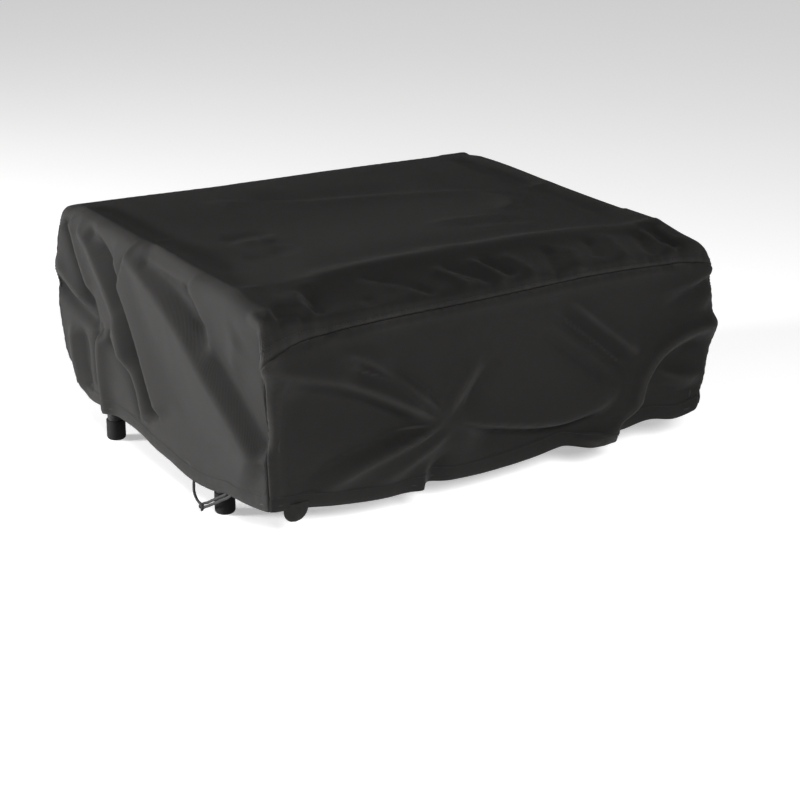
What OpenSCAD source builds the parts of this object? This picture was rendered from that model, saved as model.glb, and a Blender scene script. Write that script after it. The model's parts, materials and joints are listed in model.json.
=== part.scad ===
// Fabric cover tent on a low knock-down tube stand.
// Millimetres, +X to the right, -Y to the front, +Z up, origin on the floor under the middle.

/* [Cover] */
// Outside width of the cover
cover_w = 570; // [540:1:620]
// Outside depth of the cover
cover_d = 480; // [450:1:520]
// Height of the cover's top at the rear, above the floor
cover_top_z = 265; // [250:1:320]
// How much lower the roof is at its front ridge than at the rear
ridge_drop = 10; // [4:1:20]
// How much lower the roof is at the front edge of the nose than at the rear
nose_drop = 27; // [22:1:40]
// Depth of the sloping nose, from the front ridge to the front edge
nose_len = 66; // [64:1:90]
// Outside radius of the cover's rounded edges
edge_r = 16; // [15.5:0.5:20]
// Thickness of the fabric
fabric_t = 1.6; // [1:0.1:2]
// Width of the binding tape over a seam
binding_w = 12; // [8:1:16]
// Thickness of the binding tape
binding_t = 0.8; // [0.6:0.1:1]

/* [Hem] */
// Height of the hem's lower edge above the floor
hem_z = 35; // [32:1:45]
// Height of the drawstring channel in the hem
hem_h = 18; // [14:1:26]
// Thickness of the drawstring channel, across the hem
hem_t = 5; // [4.8:0.1:5]
// How far the channel stands proud of the fabric above it
hem_proud = 1.5; // [1.4:0.1:2.5]
// Thickness of the channel's own fabric
hem_wall = 0.7; // [0.6:0.05:0.75]
// Diameter of the drawstring
cord_d = 3.2; // [2.6:0.1:3.2]

/* [Stand] */
// Outside diameter of the stand's tubes
tube_d = 19; // [17:0.5:19]
// Wall of the tubes
tube_wall = 1.2; // [1:0.1:2]
// Outside diameter of the joint fittings
fitting_d = 22; // [22:0.5:23]
// Length of a fitting's socket, from the middle of the fitting
socket_len = 28; // [26:1:28]
// Place of the rear legs, behind the middle
rear_leg_y = 150; // [120:1:170]
// Place of the front legs, before the middle
front_leg_y = -116; // [-116:1:-60]
// Place of the middle roof rail, behind the middle
mid_rail_y = 40; // [-20:1:80]
// Diameter of the low spreader tubes between the legs
spreader_d = 16; // [12:0.5:17]
// Height of the low spreaders above the floor
spreader_z = 62; // [55:1:120]

/* [Feet] */
// Outside diameter of a foot cap
foot_d = 22; // [22:0.5:23]
// Height of a foot cap
foot_h = 24; // [18:1:30]
// Radius of a foot cap's rounded lower edge
foot_round = 4; // [2:0.5:5]
// Thickness of a foot cap's floor
foot_floor = 4; // [3:0.5:6]

/* [Hidden] */
SIDES = [["left", -1], ["right", 1]];
LEGS = [["rear_left", -1, rear_leg_y], ["rear_right", 1, rear_leg_y],
        ["front_left", -1, front_leg_y], ["front_right", 1, front_leg_y]];
$fn = 48;

// Centre lines of the stand, which are also the centres of the cover's rounded edges
rail_x = cover_w / 2 - edge_r;
rail_y = cover_d / 2 - edge_r;
ridge_y = nose_len - rail_y;
rear_z = cover_top_z - edge_r;
ridge_z = rear_z - ridge_drop;
nose_z = rear_z - nose_drop;
roof_slope = ridge_drop / (rail_y - ridge_y);
roof_tilt = atan(roof_slope);

fit_gap = 0.1;            // play between a tube and its socket, or a tape and its seam
fitting_r = fitting_d / 2;
socket_step = 0.4;        // difference in radius between sockets that meet in one fitting
hub_r = fitting_r + socket_step;    // outside of an end fitting's cross socket
hub_end = 4;              // how far an end fitting reaches past its middle
stop = 12.5;              // solid middle of a fitting, where a tube ends
sleeve_half = 13;         // half length of a sleeve that a tube runs through
tee_drop = 34;            // length of a leg tee below its rail
screw_d = 4;
screw_play = 0.2;
screw_head_d = 6.8;
screw_head_h = 2;
screw_at = 20;            // distance of a socket's screw from the middle of the fitting
tee_screw_drop = 24;      // distance of a leg tee's screw below its rail
sleeve_screw_rise = 8;    // height of a spreader tee's screw above the spreader

seam_z = nose_z + 3;      // height of the front seam
seam_in = edge_r * cos(45);
panel_z = hem_z + hem_h;  // the panels start where the hem channel ends
above = 2 * cover_top_z;

// Ends of the drawstring's covered run along the left side
loop_start_y = -56;
tail_start_y = -180;
hem_mid_z = hem_z + hem_h / 2;
hem_mid_x = cover_w / 2 + hem_proud - hem_t / 2;
hem_mid_y = cover_d / 2 + hem_proud - hem_t / 2;

// Free loop of the drawstring: out of the hem, down, and back up into it
LOOP = [[-284, -56, 44], [-284, -62, 44], [-284, -67, 43], [-284, -71, 40], [-284, -74, 35],
        [-284, -76, 29], [-285, -77, 22], [-286, -79, 15], [-286, -83, 9], [-286, -89, 6],
        [-286, -96, 6], [-286, -102, 9], [-286, -109, 12], [-286, -116, 16], [-286, -123, 20],
        [-285, -130, 24], [-284, -137, 28], [-284, -144, 32], [-284, -150, 36], [-284, -155, 40]];
// Free tail of the drawstring: out of the hem and down to its knot
TAIL = [[-284, -180, 44], [-284, -174, 44], [-284, -168, 42], [-284, -162, 39], [-284, -156, 35],
        [-284, -150, 31], [-285, -143, 27], [-286, -136, 23], [-286, -129, 19], [-287, -122, 15],
        [-288, -115, 11], [-290, -109, 8]];
knot_d = 7.2;
knot_len = 7.5;
// Slots in the hem's lower edge, as ranges along Y
SLOTS = [[-79, -69], [-163, -141]];

tuck_x = -255;            // middle of the hem's gathered corner lobe
tuck_w = 24;
tuck_h = 17;

function roof_z(y) = rear_z - (rail_y - y) * roof_slope;
function last(list) = list[len(list) - 1];
function unit(v) = v / norm(v);

// Joints of the stand: the end points of its tubes
function rear_node(s) = [s * rail_x, rail_y, rear_z];
function ridge_node(s) = [s * rail_x, ridge_y, ridge_z];
function nose_node(s) = [s * rail_x, -rail_y, nose_z];
function mid_node(s) = [s * rail_x, mid_rail_y, roof_z(mid_rail_y)];
function leg_node(s, y) = [s * rail_x, y, roof_z(y)];
function spreader_node(s, y) = [s * rail_x, y, spreader_z];

// Screws: [point on the tube's axis, direction that the head faces, radius of the socket there]
SCREWS = concat(
    [for (s = [-1, 1], n = [rear_node(s), ridge_node(s), nose_node(s)])
        [n + [-s * screw_at, 0, 0], [0, 0, -1], hub_r]],
    [for (s = [-1, 1]) [mid_node(s) + [-s * screw_at, 0, 0], [0, 0, -1], fitting_r]],
    [for (s = [-1, 1], n = [rear_node(s), nose_node(s)])
        [n + screw_at * unit(ridge_node(s) - n), [-s, 0, 0], fitting_r]],
    [for (l = LEGS) [leg_node(l[1], l[2]) - [0, 0, tee_screw_drop], [-l[1], 0, 0], fitting_r]],
    [for (l = LEGS) [spreader_node(l[1], l[2]) + [0, 0, sleeve_screw_rise], [-l[1], 0, 0], fitting_r]]);

// Puts its children, made along +Z, on the line from a to b
module along(a, b) {
    v = b - a;
    translate(a) rotate([0, acos(v[2] / norm(v)), atan2(v[1], v[0])]) children();
}

// Hollow tube between two points, its ends pulled in by the gaps given
module tube(a, b, d, gap_a, gap_b) {
    along(a, b) translate([0, 0, gap_a]) difference() {
        cylinder(d = d, h = norm(b - a) - gap_a - gap_b);
        translate([0, 0, -1]) cylinder(d = d - 2 * tube_wall, h = norm(b - a) + 2);
    }
}

// Outside and bore of one socket of a fitting, from its middle towards a point
module socket_body(at, to, d = fitting_d, len = socket_len) {
    along(at, to) cylinder(d = d, h = len);
}
module socket_bore(at, to, d = tube_d, len = socket_len, from = stop) {
    along(at, to) translate([0, 0, from]) cylinder(d = d + 2 * fit_gap, h = len);
}

// Outside and bore of a sleeve around a tube that runs through it
module sleeve_body(at, to) {
    along(at, to) translate([0, 0, -sleeve_half]) cylinder(d = fitting_d, h = 2 * sleeve_half);
}
module sleeve_bore(at, to) {
    along(at, to) translate([0, 0, -2 * sleeve_half]) cylinder(d = tube_d + 2 * fit_gap, h = 4 * sleeve_half);
}

module screw_holes() {
    for (s = SCREWS) along(s[0], s[0] + s[1]) cylinder(d = screw_d + screw_play, h = fitting_d);
}

// Fitting at the end of the stand's rails: one socket for the cross rail, and one for each
// of the tubes that run along the side
module end_fitting(at, across, alongside) {
    color("DimGray") difference() {
        union() {
            along(at, across) translate([0, 0, -hub_end]) cylinder(r = hub_r, h = socket_len + hub_end);
            for (i = [0:len(alongside) - 1]) along(at, alongside[i])
                translate([0, 0, i == 0 ? -hub_end : 0])
                    cylinder(r = fitting_r - socket_step * i, h = socket_len + (i == 0 ? hub_end : 0));
        }
        for (to = concat([across], alongside)) socket_bore(at, to);
        screw_holes();
    }
}

module side_rail(s) {
    color("SlateGray") tube(rear_node(s), ridge_node(s), tube_d, stop, stop);
}

module nose_arm(s) {
    color("SlateGray") tube(ridge_node(s), nose_node(s), tube_d, stop, stop);
}

module cross_rail(left, right) {
    color("SlateGray") tube(left, right, tube_d, stop, stop);
}

module corner_rear(s) end_fitting(rear_node(s), rear_node(-s), [ridge_node(s)]);
module corner_nose(s) end_fitting(nose_node(s), nose_node(-s), [ridge_node(s)]);
module ridge_fitting(s) end_fitting(ridge_node(s), ridge_node(-s), [rear_node(s), nose_node(s)]);

// Sleeve on a side rail that holds one end of the middle roof rail
module mid_fitting(s) {
    color("DimGray") difference() {
        union() {
            sleeve_body(mid_node(s), ridge_node(s));
            socket_body(mid_node(s), mid_node(-s));
        }
        sleeve_bore(mid_node(s), ridge_node(s));
        socket_bore(mid_node(s), mid_node(-s));
        screw_holes();
    }
}

// Sleeve on a side rail that holds the top of a leg
module leg_tee(s, y) {
    at = leg_node(s, y);
    below = at - [0, 0, 1];
    color("DimGray") difference() {
        union() {
            sleeve_body(at, rear_node(s));
            socket_body(at, below, len = tee_drop);
        }
        sleeve_bore(at, rear_node(s));
        socket_bore(at, below, len = tee_drop);
        screw_holes();
    }
}

module leg(s, y) {
    color("SlateGray") tube([s * rail_x, y, foot_floor], leg_node(s, y), tube_d, 0, stop);
}

// Sleeve on a leg that holds one end of a low spreader
module spreader_tee(s, y, towards_y) {
    at = spreader_node(s, y);
    to = spreader_node(s, towards_y);
    color("DimGray") difference() {
        union() {
            sleeve_body(at, at + [0, 0, 1]);
            socket_body(at, to, d = spreader_d + 4);
        }
        sleeve_bore(at, at + [0, 0, 1]);
        socket_bore(at, to, d = spreader_d);
        screw_holes();
    }
}

module spreader(s) {
    color("SlateGray")
        tube(spreader_node(s, front_leg_y), spreader_node(s, rear_leg_y), spreader_d, stop, stop);
}

// Rubber cup over the bottom of a leg
module foot_cap(s, y) {
    inner = tube_d / 2 + fit_gap;
    color("DarkSlateGray") translate([s * rail_x, y, 0]) rotate_extrude() difference() {
        union() {
            translate([0, foot_round]) square([foot_d / 2, foot_h - foot_round]);
            square([foot_d / 2 - foot_round, foot_h]);
            translate([foot_d / 2 - foot_round, foot_round]) circle(r = foot_round);
        }
        translate([0, foot_floor]) square([inner, foot_h]);
        translate([-foot_d, 0]) square([foot_d, foot_h]);
    }
}

// Button-head screws that lock the fittings on the tubes
module grub_screws() {
    color("Silver") for (s = SCREWS) along(s[0], s[0] + s[1]) {
        translate([0, 0, tube_d / 2 + fit_gap]) cylinder(d = screw_d, h = s[2] - tube_d / 2 - fit_gap);
        translate([0, 0, s[2]]) cylinder(d = screw_head_d, h = screw_head_h);
    }
}

// Solid shape of the whole cover, down to the level low
module cover_shape(r, low) {
    hull() for (s = [-1, 1]) {
        for (p = [rear_node(s), ridge_node(s), nose_node(s)]) translate(p) sphere(r = r, $fn = 32);
        for (y = [-rail_y, rail_y]) translate([s * rail_x, y, low]) cylinder(r = r, h = 1, $fn = 32);
    }
}

module cover_shell() {
    difference() {
        cover_shape(edge_r, panel_z);
        cover_shape(edge_r - fabric_t, panel_z - 1);
    }
}

// Space of the front panel (front = -1) or the rear panel (front = 1), out to its seam
module panel_zone(front, top, grow = 0) {
    half = rail_x + seam_in + grow;
    inner_y = rail_y + seam_in - grow;
    translate([-half, front > 0 ? inner_y : -inner_y - cover_d, 0]) cube([2 * half, cover_d, top + grow]);
}
rear_seam_z = rear_z + seam_in;

// One piece of fabric for the left side, the roof and the right side
module wrap_panel() {
    color("Black") difference() {
        cover_shell();
        panel_zone(-1, seam_z);
        panel_zone(1, rear_seam_z);
    }
}

module end_panel(front, top) {
    color("Black") intersection() {
        cover_shell();
        panel_zone(front, top);
    }
}

// Tape inside the cover, over the seam around an end panel
module seam_binding(front, top) {
    inside = edge_r - fabric_t - fit_gap;
    color("DimGray") intersection() {
        difference() {
            cover_shape(inside, panel_z);
            cover_shape(inside - binding_t, panel_z - 1);
        }
        difference() {
            panel_zone(front, top, binding_w / 2);
            panel_zone(front, top, -binding_w / 2);
        }
    }
}

// Flat slab with round corners, inset from the hem's outside
module hem_slab(inset, from_z, to_z) {
    r = edge_r + hem_proud - inset;
    translate([0, 0, from_z]) linear_extrude(to_z - from_z) {
        square([2 * (rail_x + r), 2 * rail_y], center = true);
        square([2 * rail_x, 2 * (rail_y + r)], center = true);
        for (s = [-1, 1], y = [-rail_y, rail_y]) translate([s * rail_x, y]) circle(r = r);
    }
}

// Drawstring channel all round the cover, with its slots
module hem_ring() {
    difference() {
        hem_slab(0, hem_z, panel_z);
        hem_slab(hem_t, hem_z - 1, panel_z + 1);
        difference() {
            hem_slab(hem_wall, hem_z + hem_wall, panel_z - hem_wall);
            hem_slab(hem_t - hem_wall, hem_z, panel_z);
        }
        for (slot = SLOTS) translate([-hem_mid_x - hem_t / 2 + hem_wall, slot[0], hem_z - 1])
            cube([hem_t - 2 * hem_wall, slot[1] - slot[0], 2]);
    }
}

module hem_end(front) {
    color("Black") intersection() {
        hem_ring();
        panel_zone(front, above);
    }
}

module hem_side(s) {
    color("Black") difference() {
        hem_ring();
        for (front = [-1, 1]) panel_zone(front, above);
        translate([s > 0 ? -cover_w : 0, -cover_d, 0]) cube([cover_w, 2 * cover_d, above]);
    }
}

// Gathered lobe of hem under the front left corner
module hem_tuck() {
    lobe_r = tuck_w / 2;
    color("Black") translate([tuck_x, -hem_mid_y, hem_z - tuck_h + lobe_r]) rotate([90, 0, 0])
        linear_extrude(hem_t, center = true) intersection() {
            union() {
                circle(r = lobe_r);
                translate([-lobe_r, 0]) square([tuck_w, tuck_h]);
            }
            translate([-lobe_r, -lobe_r]) square([tuck_w, tuck_h]);
        }
}

// Part of the drawstring that runs inside the hem, between its two ends on the left side
module drawstring() {
    bend_r = hem_mid_x - rail_x;
    runs = [[[-hem_mid_x, loop_start_y, hem_mid_z], [-hem_mid_x, rail_y, hem_mid_z]],
            [[-rail_x, hem_mid_y, hem_mid_z], [rail_x, hem_mid_y, hem_mid_z]],
            [[hem_mid_x, rail_y, hem_mid_z], [hem_mid_x, -rail_y, hem_mid_z]],
            [[rail_x, -hem_mid_y, hem_mid_z], [-rail_x, -hem_mid_y, hem_mid_z]],
            [[-hem_mid_x, -rail_y, hem_mid_z], [-hem_mid_x, tail_start_y, hem_mid_z]]];
    color("DarkSlateGray") {
        for (r = runs) along(r[0], r[1]) cylinder(d = cord_d, h = norm(r[1] - r[0]));
        for (quarter = [0:3]) {
            sx = quarter == 0 || quarter == 3 ? 1 : -1;
            sy = quarter < 2 ? 1 : -1;
            translate([sx * rail_x, sy * rail_y, hem_mid_z]) rotate([0, 0, 90 * quarter])
                rotate_extrude(angle = 90) translate([bend_r, 0]) circle(d = cord_d);
        }
    }
}

// Round cord through a list of points, as one swept tube
module swept_cord(points, d, sides = 8) {
    n = len(points);
    function heading(i) = unit(points[min(i + 1, n - 1)] - points[max(i - 1, 0)]);
    function ring(i) =
        let (t = heading(i), a = unit(cross(t, [1, 0, 0])), b = cross(t, a))
        [for (k = [0:sides - 1]) points[i] + d / 2 * (a * cos(360 * k / sides) + b * sin(360 * k / sides))];
    faces = concat(
        [[for (k = [0:sides - 1]) k]],
        [for (i = [0:n - 2], k = [0:sides - 1])
            let (next = (k + 1) % sides)
            [i * sides + k, (i + 1) * sides + k, (i + 1) * sides + next, i * sides + next]],
        [[for (k = [sides - 1:-1:0]) (n - 1) * sides + k]]);
    polyhedron(points = [for (i = [0:n - 1]) each ring(i)], faces = faces, convexity = 6);
}

module drawstring_loop() {
    color("DarkSlateGray") swept_cord(LOOP, cord_d);
}

module drawstring_tail() {
    color("DarkSlateGray") swept_cord(TAIL, cord_d);
}

// Overhand knot on the tail's end
module drawstring_knot() {
    tip = last(TAIL);
    ahead = tip + unit(tip - TAIL[len(TAIL) - 2]);
    chamfer = 1.4;
    color("DarkSlateGray") along(tip, ahead) rotate_extrude() polygon([
        [0, 0], [knot_d / 2 - chamfer, 0], [knot_d / 2, chamfer],
        [knot_d / 2, knot_len - chamfer], [knot_d / 2 - chamfer, knot_len], [0, knot_len]]);
}

for (side = SIDES) {
    s = side[1];
    side_rail(s);
    nose_arm(s);
    spreader(s);
    corner_rear(s);
    corner_nose(s);
    ridge_fitting(s);
    mid_fitting(s);
    hem_side(s);
}
for (l = LEGS) {
    leg(l[1], l[2]);
    foot_cap(l[1], l[2]);
    leg_tee(l[1], l[2]);
    spreader_tee(l[1], l[2], l[2] == rear_leg_y ? front_leg_y : rear_leg_y);
}
cross_rail(rear_node(-1), rear_node(1));  // rear_rail
cross_rail(mid_node(-1), mid_node(1));  // mid_rail
cross_rail(ridge_node(-1), ridge_node(1));  // ridge_rail
cross_rail(nose_node(-1), nose_node(1));  // nose_rail
grub_screws();
wrap_panel();
end_panel(-1, seam_z);  // front_panel
end_panel(1, rear_seam_z);  // rear_panel
seam_binding(-1, seam_z);  // front_seam_binding
seam_binding(1, rear_seam_z);  // rear_seam_binding
hem_end(-1);  // hem_front
hem_end(1);  // hem_rear
hem_tuck();
drawstring();
drawstring_loop();
drawstring_tail();
drawstring_knot();
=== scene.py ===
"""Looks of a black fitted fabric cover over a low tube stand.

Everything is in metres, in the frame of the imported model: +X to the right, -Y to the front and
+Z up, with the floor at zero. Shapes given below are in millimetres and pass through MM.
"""
import json
import math

import bpy
import numpy as np
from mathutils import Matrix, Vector
from mathutils.bvhtree import BVHTree

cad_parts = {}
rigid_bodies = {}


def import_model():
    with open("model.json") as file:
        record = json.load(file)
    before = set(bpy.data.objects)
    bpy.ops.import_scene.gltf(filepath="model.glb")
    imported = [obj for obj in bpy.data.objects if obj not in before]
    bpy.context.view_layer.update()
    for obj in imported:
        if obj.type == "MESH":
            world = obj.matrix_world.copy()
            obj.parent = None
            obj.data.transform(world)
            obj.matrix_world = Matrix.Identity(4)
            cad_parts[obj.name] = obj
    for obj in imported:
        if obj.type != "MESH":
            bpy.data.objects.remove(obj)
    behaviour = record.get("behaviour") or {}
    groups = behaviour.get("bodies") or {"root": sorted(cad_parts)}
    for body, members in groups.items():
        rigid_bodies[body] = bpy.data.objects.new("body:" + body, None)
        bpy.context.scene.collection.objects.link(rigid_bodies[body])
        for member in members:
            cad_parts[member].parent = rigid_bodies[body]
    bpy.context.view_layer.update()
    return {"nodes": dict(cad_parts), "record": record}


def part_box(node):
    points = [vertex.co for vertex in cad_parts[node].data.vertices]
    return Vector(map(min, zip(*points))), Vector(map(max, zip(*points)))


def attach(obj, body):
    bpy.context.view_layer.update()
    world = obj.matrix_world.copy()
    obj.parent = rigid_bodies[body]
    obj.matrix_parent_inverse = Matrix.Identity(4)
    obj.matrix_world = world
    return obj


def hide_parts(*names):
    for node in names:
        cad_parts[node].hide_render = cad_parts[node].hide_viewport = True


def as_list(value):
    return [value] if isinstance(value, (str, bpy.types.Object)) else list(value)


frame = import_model()
MM = 0.001

# ---------------------------------------------------------------- sizes from the frame
WRAP_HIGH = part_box("wrap_panel")[1]
HALF_X = WRAP_HIGH[0] / MM          # outside of the left and right walls
HALF_Y = -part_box("front_panel")[0][1] / MM  # outside of the front and rear walls
ROOF_Z = WRAP_HIGH[2] / MM          # highest point of the roof
HEM_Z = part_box("hem_left")[0][2] / MM

# ---------------------------------------------------------------- camera
VIEW_AZIMUTH = 33.31                # the camera looks this far round from +Y towards +X
VIEW_ELEVATION = 19.23
VIEW_DISTANCE = 2.10
VIEW_LENS = 83.0
VIEW_AIM = (-0.0095, -0.055, 0.057)


def make_camera():
    turn, tilt = math.radians(VIEW_AZIMUTH), math.radians(VIEW_ELEVATION)
    forward = Vector((math.sin(turn) * math.cos(tilt), math.cos(turn) * math.cos(tilt), -math.sin(tilt)))
    camera = bpy.data.objects.new("camera", bpy.data.cameras.new("camera"))
    camera.data.lens = VIEW_LENS
    camera.location = Vector(VIEW_AIM) - VIEW_DISTANCE * forward
    camera.rotation_euler = (math.pi / 2 - tilt, 0, -turn)
    camera.data.clip_end = 60
    bpy.context.collection.objects.link(camera)
    bpy.context.scene.camera = camera


make_camera()


# ---------------------------------------------------------------- small helpers
def ease(low, high, value):
    """0 below low, 1 above high, smooth between."""
    t = np.clip((np.asarray(value, float) - low) / (high - low), 0, 1)
    return t * t * (3 - 2 * t)


def through(points, at):
    """Height at a place of the smooth line through (place, height) points."""
    x, y = np.array(points, float).T
    slope = np.gradient(y, x)
    at = np.clip(np.asarray(at, float), x[0], x[-1])
    i = np.clip(np.searchsorted(x, at) - 1, 0, len(x) - 2)
    step = x[i + 1] - x[i]
    t = (at - x[i]) / step
    return (
        (2 * t**3 - 3 * t**2 + 1) * y[i]
        + (t**3 - 2 * t**2 + t) * step * slope[i]
        + (3 * t**2 - 2 * t**3) * y[i + 1]
        + (t**3 - t**2) * step * slope[i + 1]
    )


def resample(line, cells):
    """Points at equal steps along a polyline."""
    run = length_along(line)
    at = np.linspace(0, run[-1], cells + 1)
    return np.stack([np.interp(at, run, line[:, k]) for k in range(3)], axis=1)


def curve(points, steps, closed=False):
    """Catmull-Rom curve through points in two or three directions."""
    p = np.array(points, float)
    p = np.vstack([p[-1:], p, p[:2]]) if closed else np.vstack([2 * p[0] - p[1], p, 2 * p[-1] - p[-2]])
    t = np.linspace(0, 1, steps, endpoint=False)[:, None]
    line = [
        0.5 * (2 * b + (c - a) * t + (2 * a - 5 * b + 4 * c - d) * t**2 + (3 * b - a - 3 * c + d) * t**3)
        for a, b, c, d in zip(p, p[1:], p[2:], p[3:])
    ]
    return np.vstack(line + [p[-2:-1]])


def length_along(line):
    """Distance run at each point of a polyline."""
    return np.concatenate([[0], np.cumsum(np.linalg.norm(np.diff(line, axis=0), axis=1))])


def unit(v):
    return v / np.linalg.norm(v, axis=-1, keepdims=True)


# ---------------------------------------------------------------- the cover's resting shape
# Outlines, as (place, height) in mm. Left and right run along Y, front and rear along X.
HEM_LEFT = [(-240, 46), (-200, 40), (-155, 37), (-116, 29), (-70, 26), (-20, 31), (20, 34), (50, 39),
            (100, 41), (150, 41), (190, 39), (222, 44), (240, 47)]
HEM_FRONT = [(-285, 46), (-250, 43), (-204, 36), (-143, 31), (-100, 33), (-17, 31), (50, 34), (86, 38),
             (140, 34), (183, 34), (219, 40), (252, 38), (285, 52)]
HEM_RIGHT = [(-240, 52), (-195, 38), (-130, 33), (-80, 29), (-10, 36), (60, 31), (130, 38), (200, 34),
             (240, 46)]
HEM_REAR = [(-285, 47), (-230, 37), (-150, 33), (-60, 38), (20, 31), (110, 36), (200, 32), (250, 40),
            (285, 46)]
SEAM_FRONT = [(-285, 203), (-247, 214), (-213, 217), (-131, 221), (-50, 222), (30, 224), (110, 226),
              (180, 225), (250, 220), (285, 215)]
SEAM_REAR = [(-285, 246), (-230, 252), (0, 254), (230, 252), (285, 246)]
# Heights of the roof along its left edge, its middle and its right edge
ROOF_LEFT = [(-240, 240), (-182, 248), (-89, 252), (63, 259), (200, 263), (240, 263)]
ROOF_MIDDLE = [(-240, 249), (-158, 256), (40, 258), (150, 262), (210, 263), (240, 262)]
ROOF_RIGHT = [(-240, 240), (-205, 245), (-110, 246), (-50, 251), (28, 256), (150, 262), (240, 262)]
RIDGE_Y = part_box("ridge_rail")[0][1] / MM + 12
CORNER_R = 11                       # rounding of the upright corners
EDGE_R = 17                         # rounding of the roof's side edges
SEAM_TURN = math.radians(45)        # the seams sit half way round a corner
LIP, LIP_RISE = 24, 11              # how far back and how high the nose rolls over its front seam

CELLS_UP, CELLS_OVER, CELLS_BACK = 44, 110, 96
WALL_STEPS, ARC_STEPS, ROOF_STEPS = 60, 13, 240  # points each stretch of a row is first drawn with
HALF_ARC = ARC_STEPS // 2           # the wall ends and the roof starts half way round the edge


def corner_turn(distance, radius):
    """How far a wall has turned in at a distance from the seam on its rounded corner."""
    left = np.clip(radius * math.sin(SEAM_TURN) - distance, 0, radius)
    return radius - np.sqrt(radius**2 - left**2)


SEAM_Y = HALF_Y - float(corner_turn(0, CORNER_R))


def roof_height(x, y):
    """Height of the roof: a flat top, a sloping nose, and square shoulders at the nose's ends."""
    middle = through(ROOF_MIDDLE, y)
    edge = np.where(x < 0, through(ROOF_LEFT, y), through(ROOF_RIGHT, y))
    flat = middle + (edge - middle) * ease(60, HALF_X, np.abs(x))
    front_seam = through(SEAM_FRONT, x)
    down = np.clip((RIDGE_Y - y) / (SEAM_Y + RIDGE_Y), 0, 1)
    lip = np.clip((y + SEAM_Y) / LIP, 0, 1)
    nose = flat + (front_seam + LIP_RISE - flat) * down - LIP_RISE * (1 - np.sqrt(1 - (1 - lip) ** 2))
    drop = np.clip((y + SEAM_Y) / 26, 0, 1)
    shoulder = front_seam + (flat - front_seam) * np.sqrt(1 - (1 - drop) ** 2)
    square = np.where(x < 0, ease(202, 250, -x), ease(238, 278, x))
    height = nose + (shoulder - nose) * square
    rear_seam = through(SEAM_REAR, x)
    back = np.clip((SEAM_Y - y) / 16, 0, 1)
    return rear_seam + (height - rear_seam) * np.sqrt(1 - (1 - back) ** 2)


# How far the drawstring pulls each wall in at the hem, as (place along the wall, distance)
PULL_LEFT = [(-240, 1), (-60, 0.5), (30, 2.5), (120, 3.5), (200, 5), (240, 10)]
PULL_RIGHT = [(-240, 6), (-150, 3.5), (0, 4), (150, 4), (240, 8)]
PULL_FRONT = [(-285, 1), (-150, 2), (0, 4), (200, 6), (285, 8)]
PULL_REAR = [(-285, 12), (-150, 5), (0, 3), (150, 5), (285, 9)]


# How far the slack cloth of the left and right walls stands out, in the same way
BULGE_LEFT = [(-240, 2), (100, 2), (200, 7), (240, 12)]
BULGE_RIGHT = [(-240, 8), (-150, 6), (0, 3), (240, 3)]


def wall_out(share, pull, bulge=2.0):
    """How far a wall stands out at a share of its height."""
    return bulge * np.sin(math.pi * np.clip(share, 0, 1) ** 1.35) - pull * (1 - ease(0, 0.24, share))


def wrap_row(y):
    """One row of the wrap panel: up the left wall, over the roof and down the right wall."""
    end = min(y + HALF_Y, HALF_Y - y)
    inset = corner_turn(end, CORNER_R)
    radius = 5 + (EDGE_R - 5) * float(ease(0, 26, end))
    parts = []
    sides = (-1, HEM_LEFT, PULL_LEFT, BULGE_LEFT), (1, HEM_RIGHT, PULL_RIGHT, BULGE_RIGHT)
    for side, hem, pull, bulge in sides:
        low = float(through(hem, y))
        top = float(roof_height(side * (HALF_X - radius), y))
        share = np.linspace(0, 1, WALL_STEPS)
        out = wall_out(share, float(through(pull, y)), float(through(bulge, y)))
        height = low + (top - radius - low) * share
        wall = np.stack([side * (HALF_X - inset + out), np.full(WALL_STEPS, y), height], axis=1)
        turn = np.linspace(0, math.pi / 2, ARC_STEPS)
        centre = side * (HALF_X - inset - radius)
        arc = np.stack([centre + side * radius * np.cos(turn), np.full(ARC_STEPS, y),
                        top - radius + radius * np.sin(turn)], axis=1)
        parts.append((wall, arc))
    (wall_l, arc_l), (wall_r, arc_r) = parts
    x = np.linspace(arc_l[-1, 0], arc_r[-1, 0], ROOF_STEPS)[1:-1]
    roof = np.stack([x, np.full_like(x, y), roof_height(x, np.full_like(x, y))], axis=1)
    left = np.vstack([wall_l[:-1], arc_l[: HALF_ARC + 1]])
    over = np.vstack([arc_l[HALF_ARC:], roof, arc_r[HALF_ARC:][::-1]])
    right = np.vstack([arc_r[: HALF_ARC + 1][::-1], wall_r[:-1][::-1]])
    over, right = resample(over, CELLS_OVER), resample(right, CELLS_UP)
    return np.vstack([resample(left, CELLS_UP), over[1:], right[1:]])


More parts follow.
